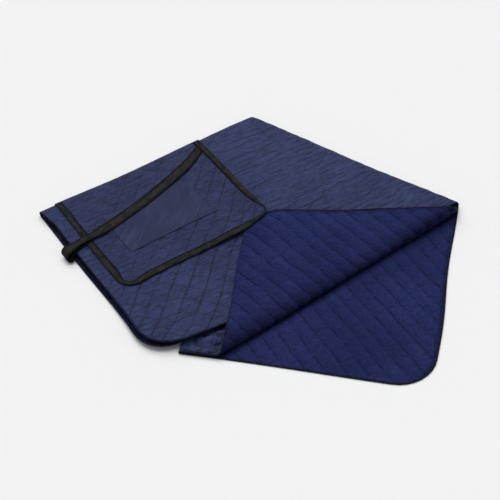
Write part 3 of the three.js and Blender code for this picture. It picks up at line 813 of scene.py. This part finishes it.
def lay_tape(path, surface, profile, closed):
    """A tape along a path: profile(place) lists each fold as (distance inward, height)."""
    runs = [0]
    for (place, _), (before, _) in zip(path[1:], path):
        runs.append(runs[-1] + (place - before).length)
    if closed:
        path = [*path, path[0]]
        runs.append(runs[-1] + (path[-1][0] - path[-2][0]).length)
    sample = profile(path[0][0])
    widths = [0]
    for (inset, height), (inset_before, height_before) in zip(sample[1:], sample):
        widths.append(widths[-1] + math.hypot(inset - inset_before, height - height_before))
    bm, cells = flat_cloth(runs, widths)
    for vert, (i, j) in cells.items():
        place, inward = path[i]
        inset, height = profile(place)[j]
        u, v = place + max(inset, 0) * inward
        point = surface(u, v)
        if inset < 0:
            point += -inset * (point - surface(*(place + 0.001 * inward))).normalized()
        vert.co = settled(point + height * out_of(surface, u, v))
    if closed:
        bmesh.ops.remove_doubles(bm, verts=bm.verts, dist=1e-6)
    return bm


binding, tree, shader = new_material("edge_tape", (0.005, 0.006, 0.014), 0.8)
shader.inputs["Specular IOR Level"].default_value = 0.12
place = add_map(tree)
ribs = add_group(tree, weave_effect, place, thread=0.0008)
tree.links.new(add_bump(tree, ribs["Height"], 0.0002), shader.inputs["Normal"])
wear = add_noise(tree, place, 60, 3)
dark_tape, worn_tape = (0.005, 0.006, 0.018), (0.013, 0.0145, 0.038)
tape_shade = add_mix(tree, add_range(tree, wear, 0.35, 0.7), dark_tape, worn_tape)
axes = tree.nodes.new("ShaderNodeSeparateXYZ")
tree.links.new(place, axes.inputs[0])


def add_stretch(tree, run, start, full, fading, end):
    """Picks out a stretch of the tape by how far round the hem it runs."""
    rising = add_range(tree, run, start, full)
    return add_maths(tree, "MULTIPLY", rising, add_range(tree, run, fading, end, 0.9, 0.0))


by_free_corner = add_stretch(tree, axes.outputs["X"], 1.56, 1.62, 2.1, 2.2)
# Painted shade: at the left end beside the half fold, in the opening between the halves, the tape
# darkens nearly to black.
by_half_fold = add_stretch(tree, axes.outputs["X"], 4.85, 4.95, 5.2, 5.3)
shaded = add_mix(tree, by_half_fold, tape_shade, (0.001, 0.001, 0.002))
tree.links.new(
    add_mix(tree, by_free_corner, shaded, (0.017, 0.022, 0.07)), shader.inputs["Base Color"],
)


def edge_fold(place):
    """The edge tape's section, from its leg on the shell round to its leg on the fleece."""
    swell = noise.noise(Vector((place.x, place.y, 0)) * 45)
    over, round_it = 0.002 * (1 + 0.15 * swell), 0.0013
    leg = 0.0028 * (1 + 0.35 * swell)
    # By the strap the lower leg widens over the lining in the open left end: partly the tape's own
    # leg, partly a dark cover over the shade in that opening.
    by_strap = (1 - smooth(place.x, 0.01, 0.05)) * (1 - smooth(abs(place.y), 0.2, 0.35))
    below = mix(0.0036 * (1 + 0.6 * swell), 0.016, by_strap)
    return [
        (leg, 0.0016), (leg * 0.7, over), (leg * 0.3, over), (-0.0005, over), (-round_it, over / 2),
        (-0.0015, 0), (-round_it, -over / 2), (-0.0005, -over), (below * 0.3, -over),
        (below * 0.7, -over), (below, -0.0016),
    ]


edge_path = rounded_path([
    (0, -rug_width / 2, rug_corner), (rug_length, -rug_width / 2, rug_corner),
    (rug_length, rug_width / 2, rug_corner), (0, rug_width / 2, rug_corner),
], 0.01, closed=True)
edge_mesh = lay_tape(edge_path, rug_point, edge_fold, closed=True)
edge_tape = add_piece("edge_binding_tape", edge_mesh, binding)
solidify(edge_tape, 0.0005)
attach(edge_tape, "root")
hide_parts("edge_binding")

# ---------- Cover panel ----------
# A smaller cloth of quilted nylon, sewn over the half fold: it wraps the rolled-up rug when it is
# carried. Its front right corner lies on the rug's turned-back corner.

panel_left, panel_right, panel_front, panel_back = 0.04, 0.543, 0.417, -0.001
panel_thickness, panel_cloth_thickness = 0.003, 0.0012
left_radius, right_radius = 0.048, 0.028
pocket_left, pocket_right, pocket_back, pocket_front = 0.125, 0.404, 0.134, 0.304

flap_corner = rug_point(rug_length, -rug_width / 2).xy
flap_end_side = (rug_point(rug_length, -rug_width / 4).xy - flap_corner).normalized()
along_flap = rug_point(rug_length - rug_width / 4, -rug_width / 2).xy
flap_long_side = (along_flap - flap_corner).normalized()
flap_turn = math.copysign(1, flap_long_side.cross(flap_end_side))
flap_clearance = 0.0076


def over_flap(point):
    """1 where the panel lies well over the turned-back corner, and 0 clear of it."""
    place = point.xy - flap_corner
    from_end = place.cross(flap_end_side) * flap_turn
    from_long = -place.cross(flap_long_side) * flap_turn
    return (1 - smooth(-from_end, 0.025, 0.12)) * (1 - smooth(-from_long, 0.025, 0.12))


def panel_point(u, v):
    """A point of the middle of the panel's thickness: its front right corner is drawn in."""
    # The left side leans by the half fold, and the right side narrows towards its front corner.
    at_right = smooth(u, 0.42, 0.54)
    u += 0.011 * (1 - smooth(v, 0, 0.1)) * (1 - smooth(u, 0.05, 0.3))
    u += mix(0.006, -0.014, smooth(v, 0, 0.4)) * at_right
    v -= 0.02 * at_right * smooth(v, 0.2, 0.4)
    clear = mix(0.0011, 0.0025, smooth(v, 0.01, 0.12))
    lift = cloth_pair / 2 + clear + panel_thickness / 2
    point = rug_point(u, v) + lift * out_of(rug_point, u, v)
    point.z += flap_clearance * over_flap(point)
    return point


def panel_edge_distance(u, v):
    """How far inside the panel's three bound sides a place lies."""
    return min(u - panel_left, panel_right - u, panel_front - v)


def pocket_edge_distance(u, v):
    return min(u - pocket_left, pocket_right - u, v - pocket_back, pocket_front - v)


def rounded_panel(u, v):
    right = u > (panel_left + panel_right) / 2
    radius = right_radius if right else left_radius
    centre_u = panel_right - radius if right else panel_left + radius
    return round_corner(u, v, centre_u, panel_front - radius, 1 if right else -1, 1)


def panel_height(u, v, mapped):
    """The panel's outer face above its middle: flat at its tape, pressed under the pocket."""
    inside = smooth(panel_edge_distance(u, v), 0.014, 0.04)
    at_fold = mix(0.4, 1, smooth(abs(v), 0.004, 0.03))
    pressed = mix(1, 0.5, smooth(pocket_edge_distance(u, v), -0.005, 0.005))
    return mix(0.0007, 0.0008 + 0.0016 * at_fold * pressed * puff(*mapped, 1), inside)


fold_rows = [panel_back, *spaced(0, half_bend / 2, 3)]
panel_mesh, _ = flat_cloth(
    spaced(panel_left, panel_right, 80),
    [*fold_rows, *spaced(half_bend / 2, panel_front, 66)[1:]],
)
for vert in panel_mesh.verts:
    vert.co = (*rounded_panel(vert.co.x, vert.co.y), 0)
lay_cloth(panel_mesh, panel_point, panel_height, outward=True)
dark_panel, pale_panel = (0.017, 0.0245, 0.09), (0.025, 0.0345, 0.116)
panel_nylon = new_nylon("panel_nylon", dark_panel, pale_panel, far=(-0.2, -0.3), near=(0.48, 0.3))
panel = add_piece("cover_panel_cloth", panel_mesh, panel_nylon)
solidify(panel, panel_cloth_thickness)
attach(panel, "root")
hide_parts("cover_panel")

# ---------- Panel binding ----------
# Black woven tape folded round the panel's three free sides and stitched down near its inner
# edge. It bunches up where it turns the corners.

webbing_effect, webbing_in, webbing_out = new_group(
    "ribbed_webbing", {"Rib": 0.0016}, ["Height"],
)
tree = webbing_effect
axes = tree.nodes.new("ShaderNodeSeparateXYZ")
tree.links.new(webbing_in.outputs["Place"], axes.inputs[0])
rib_turns = add_maths(tree, "DIVIDE", axes.outputs["Y"], webbing_in.outputs["Rib"])
rows = add_maths(tree, "PINGPONG", rib_turns, 0.5)
yarn_turns = add_maths(tree, "DIVIDE", axes.outputs["X"], webbing_in.outputs["Rib"])
shift = add_maths(tree, "MULTIPLY", add_maths(tree, "FLOOR", rib_turns), 0.5)
yarns = add_maths(tree, "PINGPONG", add_maths(tree, "ADD", yarn_turns, shift), 0.5)
tree.links.new(add_maths(tree, "MULTIPLY", rows, yarns), webbing_out.inputs["Height"])


def new_webbing(name, rib, width):
    """Woven black tape with an olive cast, uneven in shade, grooved along both its edges."""
    material, tree, shader = new_material(name, (0.012, 0.012, 0.011), 0.7)
    shader.inputs["Specular IOR Level"].default_value = 0.08
    place = add_map(tree)
    shade = add_noise(tree, place, 45, 4, (1, 2, 1))
    tint = add_noise(tree, place, 22, 2)
    olive, brown = (0.0205, 0.021, 0.0195), (0.0265, 0.022, 0.023)
    patchy_tone_and_shade = add_mix(tree, add_range(tree, tint, 0.4, 0.6), olive, brown)
    mottled = add_mix(tree, add_range(tree, shade, 0.35, 0.62), (0.008, 0.0085, 0.0095), patchy_tone_and_shade)
    axes = tree.nodes.new("ShaderNodeSeparateXYZ")
    tree.links.new(place, axes.inputs[0])
    # Painted shade: near both edges the tape darkens nearly to black, as the shade in the grooves
    # of its stitching.
    across = add_maths(tree, "PINGPONG", axes.outputs["Y"], width / 2)
    groove = add_range(tree, across, 0.0045, 0.009, 0.85, 0.0)
    grooved = add_mix(tree, groove, mottled, (0.001, 0.001, 0.0015))
    tree.links.new(grooved, shader.inputs["Base Color"])
    ribs = add_group(tree, webbing_effect, place, rib=rib)
    normal = add_bump(tree, add_maths(tree, "MULTIPLY", groove, -1), 0.001)
    tree.links.new(add_bump(tree, ribs["Height"], 0.001, normal), shader.inputs["Normal"])
    return material


panel_tape_width = 0.048
panel_webbing = new_webbing("panel_tape", 0.0014, panel_tape_width)
panel_corners = (Vector((panel_left, panel_front)), Vector((panel_right, panel_front)))


def panel_fold(place):
    """The panel tape's section, from its leg on top round to its leg below."""
    turn = min((place - corner).length for corner in panel_corners)
    reach = mix(0.011, 0.0215, smooth(turn, 0.015, 0.08))
    reach -= 0.003 * (1 - smooth(place.x, 0.05, 0.09)) * (1 - smooth(place.y, 0.2, 0.35))
    reach -= 0.007 * smooth(place.x, 0.42, 0.48) * smooth(place.y, 0.3, 0.38)
    swell = 1 + 0.25 * noise.noise(Vector((place.x, place.y, 0)) * 40)
    over = 0.0026 * swell
    return [
        (reach, 0.0012), (reach, 0.0018), (reach * 0.94, over), (reach * 0.6, over),
        (reach * 0.25, over), (0, over * 0.9), (-0.001, over * 0.5), (-0.0013, 0),
        (-0.001, -0.001), (0.001, -0.0019), (reach * 0.9, -0.0019),
    ]


panel_path = rounded_path([
    (panel_right, panel_back, 0), (panel_right, panel_front, right_radius),
    (panel_left, panel_front, left_radius), (panel_left, panel_back, 0),
], 0.008, closed=False)
panel_tape_mesh = lay_tape(panel_path, panel_point, panel_fold, closed=False)
panel_tape = add_piece("panel_border_tape", panel_tape_mesh, panel_webbing)
solidify(panel_tape, 0.0007)
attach(panel_tape, "root")
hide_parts("panel_binding")

# ---------- Pocket ----------
# A plain nylon patch on the panel, turned in and stitched down near its edges. Its single layer
# lies in shallow slanting ripples, with a painted sheen along them.

plain_nylon, tree, shader = new_material("pocket_cloth", (0.02, 0.027, 0.078), 0.45)
set_nylon_sheen(shader)
ripple_slant = math.radians(40)
place = add_map(tree)
turned = tree.nodes.new("ShaderNodeMapping")
turned.inputs["Rotation"].default_value = (0, 0, ripple_slant)
tree.links.new(place, turned.inputs["Vector"])
mottle = add_noise(tree, place, 12, 3)
dark_pocket, pale_pocket = (0.013, 0.0185, 0.066), (0.018, 0.0255, 0.083)
slate = add_mix(tree, add_range(tree, mottle, 0.35, 0.65), dark_pocket, pale_pocket)
ripples = add_noise(tree, turned.outputs[0], 110, 2, (0.09, 1, 1), 0.3)
fading = add_range(tree, add_noise(tree, place, 9, 2), 0.4, 0.6, 0.2, 0.9)
# Painted highlight: pale streaks of sheen along the ripples, faded in patches.
sheen_streaks = add_maths(tree, "MULTIPLY", add_range(tree, ripples, 0.5, 0.66), fading)
tree.links.new(add_mix(tree, sheen_streaks, slate, (0.028, 0.038, 0.11)), shader.inputs["Base Color"])
crumple = add_noise(tree, place, 35, 3, (1, 2, 1), 0.6)
weave = add_group(tree, weave_effect, place, thread=0.0006)
normal = add_bump(tree, ripples, 0.0035)
normal = add_bump(tree, crumple, 0.002, normal)
tree.links.new(add_bump(tree, weave["Height"], 0.00015, normal), shader.inputs["Normal"])

pocket_thickness, pocket_gap = 0.001, 0.0006
ripple_direction = Vector((math.cos(-ripple_slant), math.sin(-ripple_slant)))


def pocket_point(u, v):
    """A point of the middle of the pocket's thickness."""
    lift = panel_thickness / 2 + pocket_gap + pocket_thickness / 2
    return panel_point(u, v) + lift * out_of(panel_point, u, v)


def pocket_height(u, v, mapped):
    """The pocket's outer face above its middle, rippled inside its stitching."""
    across_ripple = mapped.cross(ripple_direction)
    along_ripple = mapped.dot(ripple_direction)
    wave = noise.noise(Vector((across_ripple * 60, along_ripple * 6, 0)))
    inside = smooth(pocket_edge_distance(u, v), 0.002, 0.02)
    return pocket_thickness / 2 + inside * (0.0003 + 0.0007 * abs(wave) ** 0.8)


pocket_mesh, _ = flat_cloth(
    spaced(pocket_left, pocket_right, 76), spaced(pocket_back, pocket_front, 48),
)
lay_cloth(pocket_mesh, pocket_point, pocket_height, outward=True)
pocket = add_piece("patch_pocket", pocket_mesh, plain_nylon)
solidify(pocket, pocket_thickness)
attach(pocket, "root")
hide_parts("pocket")

# ---------- Carry strap ----------
# Black webbing, sewn down at the panel's right edge. It crosses the pocket, hangs over the rug's
# left end and turns back under itself, to be sewn to the panel's left edge.

strap_width, strap_thickness = 0.036, 0.002
# Each stop is its place along and across the rug, then its height: above the rug's cloths on the
# upper and the return run, and above the ground on the loop.
strap_upper_run = [
    (0.524, 0.044, 0.0093), (0.49, 0.065, 0.0105), (0.425, 0.092, 0.0118), (0.33, 0.12, 0.0118),
    (0.235, 0.145, 0.0118), (0.14, 0.168, 0.012), (0.092, 0.178, 0.0145), (0.055, 0.184, 0.0174),
    (0.026, 0.188, 0.0138),
]
strap_loop = [
    (0.01, 0.193, 0.0322), (0, 0.194, 0.0302), (-0.008, 0.195, 0.0255), (-0.0125, 0.196, 0.0185),
    (-0.0125, 0.198, 0.0115), (-0.009, 0.2, 0.0072), (-0.003, 0.203, 0.0062),
    (0.0015, 0.205, 0.0085), (0.003, 0.204, 0.0135), (0.004, 0.201, 0.0185),
    (0.008, 0.198, 0.0228), (0.0135, 0.195, 0.0255),
]
strap_return_run = [
    (0.026, 0.19, 0.0052), (0.04, 0.188, 0.0082), (0.056, 0.185, 0.0103), (0.072, 0.182, 0.0103),
]


def strap_pinch(along):
    """How far the strap's edges draw together: it curls lengthways near the rug's left end."""
    return 0.34 * smooth(along, 0.0, 0.035) * (1 - smooth(along, 0.06, 0.14))


def smooth_route(stops, steps):
    """An even curve through the stops, with the given steps between each two."""
    stops = [2 * stops[0] - stops[1], *stops, 2 * stops[-1] - stops[-2]]
    route = [stops[1]]
    for first, second, third, fourth in zip(stops, stops[1:], stops[2:], stops[3:]):
        gaps = (second - first, third - second, fourth - third)
        before, here, after = (math.sqrt(gap.length) for gap in gaps)
        middle = (third - second) / here
        leaving = (second - first) / before - (third - first) / (before + here) + middle
        arriving = middle - (fourth - second) / (here + after) + (fourth - third) / after
        route += interpolate_bezier(
            second, second + here * leaving / 3, third - here * arriving / 3, third, steps + 1,
        )[1:]
    return route


def strap_edge(offset):
    """The strap's route at a distance from its middle: runs on the rug, and the loop between."""
    def hanging(along, across, height):
        place = drifted(on_ground(along, across + offset * (1 - strap_pinch(along))))
        return Vector((place.x, place.y, height))

    def on_rug(along, across, rise):
        cloth = rug_point(along, across + offset + half_bend / 2)
        return hanging(along, across, cloth.z + rise)

    return smooth_route([
        *(on_rug(*stop) for stop in strap_upper_run),
        *(hanging(*stop) for stop in strap_loop),
        *(on_rug(*stop) for stop in strap_return_run),
    ], 8)


front_edge, back_edge = strap_edge(strap_width / 2), strap_edge(-strap_width / 2)
strap_runs = [0]
for place, before in zip(front_edge[1:], front_edge):
    strap_runs.append(strap_runs[-1] + (place - before).length)
strap_shares = [0, 0.02, 0.05, 0.12, 0.3, 0.5, 0.7, 0.88, 0.95, 0.98, 1]
strap_mesh, cells = flat_cloth(strap_runs, [share * strap_width for share in strap_shares])
bmesh.ops.reverse_faces(strap_mesh, faces=strap_mesh.faces)
for vert, (i, j) in cells.items():
    vert.co = mix(front_edge[i], back_edge[i], strap_shares[j])
strap_mesh.normal_update()
for vert, (i, j) in cells.items():
    middle = min(strap_shares[j], 1 - strap_shares[j])
    rise = strap_thickness / 2 - 0.0006 * (1 - smooth(middle, 0, 0.05))
    vert.co = settled(vert.co + rise * vert.normal)

strap_webbing = new_webbing("strap_tape", 0.0018, strap_width)
strap = add_piece("strap_tape", strap_mesh, strap_webbing)
solidify(strap, strap_thickness)
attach(strap, "root")
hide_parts("carry_strap")
